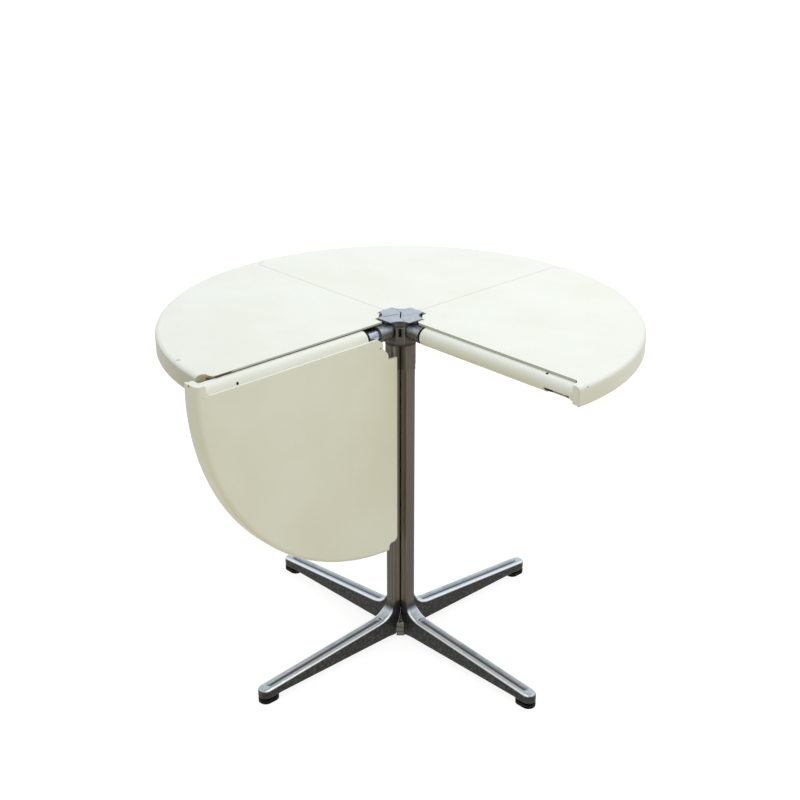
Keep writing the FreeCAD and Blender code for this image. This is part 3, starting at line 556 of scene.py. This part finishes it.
# The side of the plate is painted grey-beige. Painted shade lies at its foot and in the notch's mouth, and a
# painted shadow under the left leaf's root.
leaf_marks = {
    "side of the plate": ("#aeac9d", 0.75, *plate_side),
    "painted shade at the foot of that side": ("#37322a", 0.9, *plate_side, *second_edge, ("height", 0.7270, 0.7262)),
    "painted shadow at the left leaf's root": ("#1d1a16", 1.0, *front_left, upright, ("height", 0.7256, 0.7250),
                                     ("out", 0.150, 0.125), ("beside", 0.0180, 0.0185)),
    "painted shade in the mouth of the notch": ("#4b4028", 1.0, *plate_side, *second_edge, ("out", 0.412, 0.418),
                           ("height", 0.7293, 0.7285))}
# Painted shade in the left notch, from dark brown to light beige.
notch_shade_level, notch_shade_bands = 0.9, (*second_edge, *front_left, upright, ("beside", 0.0262, 0.0250),
                                 ("out", 0.4500, 0.4520), ("height", 0.7296, 0.7280), ("out", 0.4895, 0.4880))
# Painted shade on the rims, strongest on the left side of the table.
rim_shade_colour, rim_bands = "#cfcbbb", (("radius", 0.4730, 0.4795), upright, rim_height)
rim_shade_right_to_left = (0.35, -0.35, 0.3, 1.0)
hanging_leaf, past_the_rim = (*front_left, ("beside", 0.0012, 0.0004)), ("radius", 0.4804, 0.4808)
# Painted shade in the screw holes: a black disc round each bush screw.
screw_hole_shade_colour, screw_hole = "#0d0d0c", (0.0040, 0.0034)
skin_scale, skin_detail, skin_strength, skin_depth = 700.0, 2.0, 0.06, 0.0003
swell_scale, swell_detail, swell_strength, swell_depth = 9.0, 1.0, 0.15, 0.002
leaf_easing = 0.0008


def distance(tree, place, spot):
    """Distance of a point of the surface from a spot."""
    return add(tree, "ShaderNodeVectorMath", {"operation": "DISTANCE", 0: place, 1: spot}).outputs["Value"]


material, tree, place = new_material("moulded cream plastic")
age = patches(tree, place, age_size, span=age_span)
colour = laid_over(tree, *plastic_colours, age)
hair = product(tree, patches(tree, place, hair_width, hair_stretch, hair_span, hair_detail),
               patches(tree, place, hair_field, span=hair_field_span))
colour = laid_over(tree, colour, hair_colour, hair, hair_level)
grit = patches(tree, place, scuff_grit, span=scuff_span)
for spot, reach in scuffs.values():
    colour = laid_over(tree, colour, scuff_colour, grit,
                       ramp(tree, distance(tree, place, spot), reach, reach * scuff_core))
# Dust and painted shade in the leaf's own corners, by how sheltered a point is.
colour = laid_over(tree, colour, dust_and_shade_colour, corners(tree, dust_and_shade_reach, *dust_and_shade_span), dust_and_shade_level)

measures = measures_of(tree, place)
x, y, _ = add(tree, "ShaderNodeSeparateXYZ", {0: place}).outputs
wide, deep = combine(tree, "ABSOLUTE", x), combine(tree, "ABSOLUTE", y)
quarter_sign = combine(tree, "SIGN", product(tree, x, y))
squares = combine(tree, "ADD", combine(tree, "POWER", wide, 2.0), combine(tree, "POWER", deep, 2.0))
measures.update({
    "x": x, "y": y, "radius": combine(tree, "SQRT", squares),
    "beside": product(tree, combine(tree, "SUBTRACT", wide, deep), diagonal, quarter_sign),
    "level face": ramp(tree, measures["turned up"], *level_span)})
colour = marked(tree, colour, measures, leaf_marks)
# Painted shade in the left notch, from dark brown to light beige.
notch_shade_paint = laid_over(tree, *notch_shade, ramp(tree, measures["beside"], *notch_shade_run))
colour = laid_over(tree, colour, notch_shade_paint, share_of(tree, measures, *notch_shade_bands), notch_shade_level)
hung, past = share_of(tree, measures, *hanging_leaf), share_of(tree, measures, past_the_rim)
raised = ramp(tree, combine(tree, "MAXIMUM", hung, past), 1.0, 0.0)
# Painted shade on the rims, strongest on the left side of the table.
colour = laid_over(tree, colour, rim_shade_colour, share_of(tree, measures, *rim_bands), raised,
                   ramp(tree, x, *rim_shade_right_to_left))
# Painted shade in the screw holes: a black disc round each bush screw.
for leaf in leaves:
    hole = rows_of(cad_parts["bush_screw_" + leaf].data).mean(axis=0)
    colour = laid_over(tree, colour, screw_hole_shade_colour, ramp(tree, distance(tree, place, hole), *screw_hole))

skin = add(tree, "ShaderNodeTexNoise", {"Scale": skin_scale, "Detail": skin_detail, "Vector": place})
skin = add(tree, "ShaderNodeBump", {"Strength": skin_strength, "Distance": skin_depth,
                                    "Height": skin.outputs[0]})
swell = add(tree, "ShaderNodeTexNoise", {"Scale": swell_scale, "Detail": swell_detail, "Vector": place})
swell = add(tree, "ShaderNodeBump", {"Strength": swell_strength, "Distance": swell_depth,
                                     "Height": swell.outputs[0], "Normal": skin.outputs[0]})
finished(material, {"Base Color": colour, "Normal": swell.outputs[0],
                    "Roughness": ramp(tree, age, 0.0, 1.0, *plastic_roughness)})
for leaf in leaves:
    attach(eased("leaf_panel_" + leaf, leaf_easing, material), "leaf_" + leaf)

# Bushes between barrel and tube: black nylon, the inner one with a flange. A blackened steel screw in the
# barrel's wall runs in the groove of the outer one and sits deep in its hole.
oil_size, black_colours, black_roughness, black_shine = 0.002, ("#0f0f0f", "#1c1b1a"), 0.55, 0.2
dress(black_nylon, *["inner_bush_" + leaf for leaf in leaves], *["outer_bush_" + leaf for leaf in leaves])
material, tree, place = new_material("blackened steel")
colour = laid_over(tree, *black_colours, patches(tree, place, oil_size))
finished(material, {"Base Color": colour, "Roughness": black_roughness, "Specular IOR Level": black_shine})
dress(material, *["bush_screw_" + leaf for leaf in leaves])
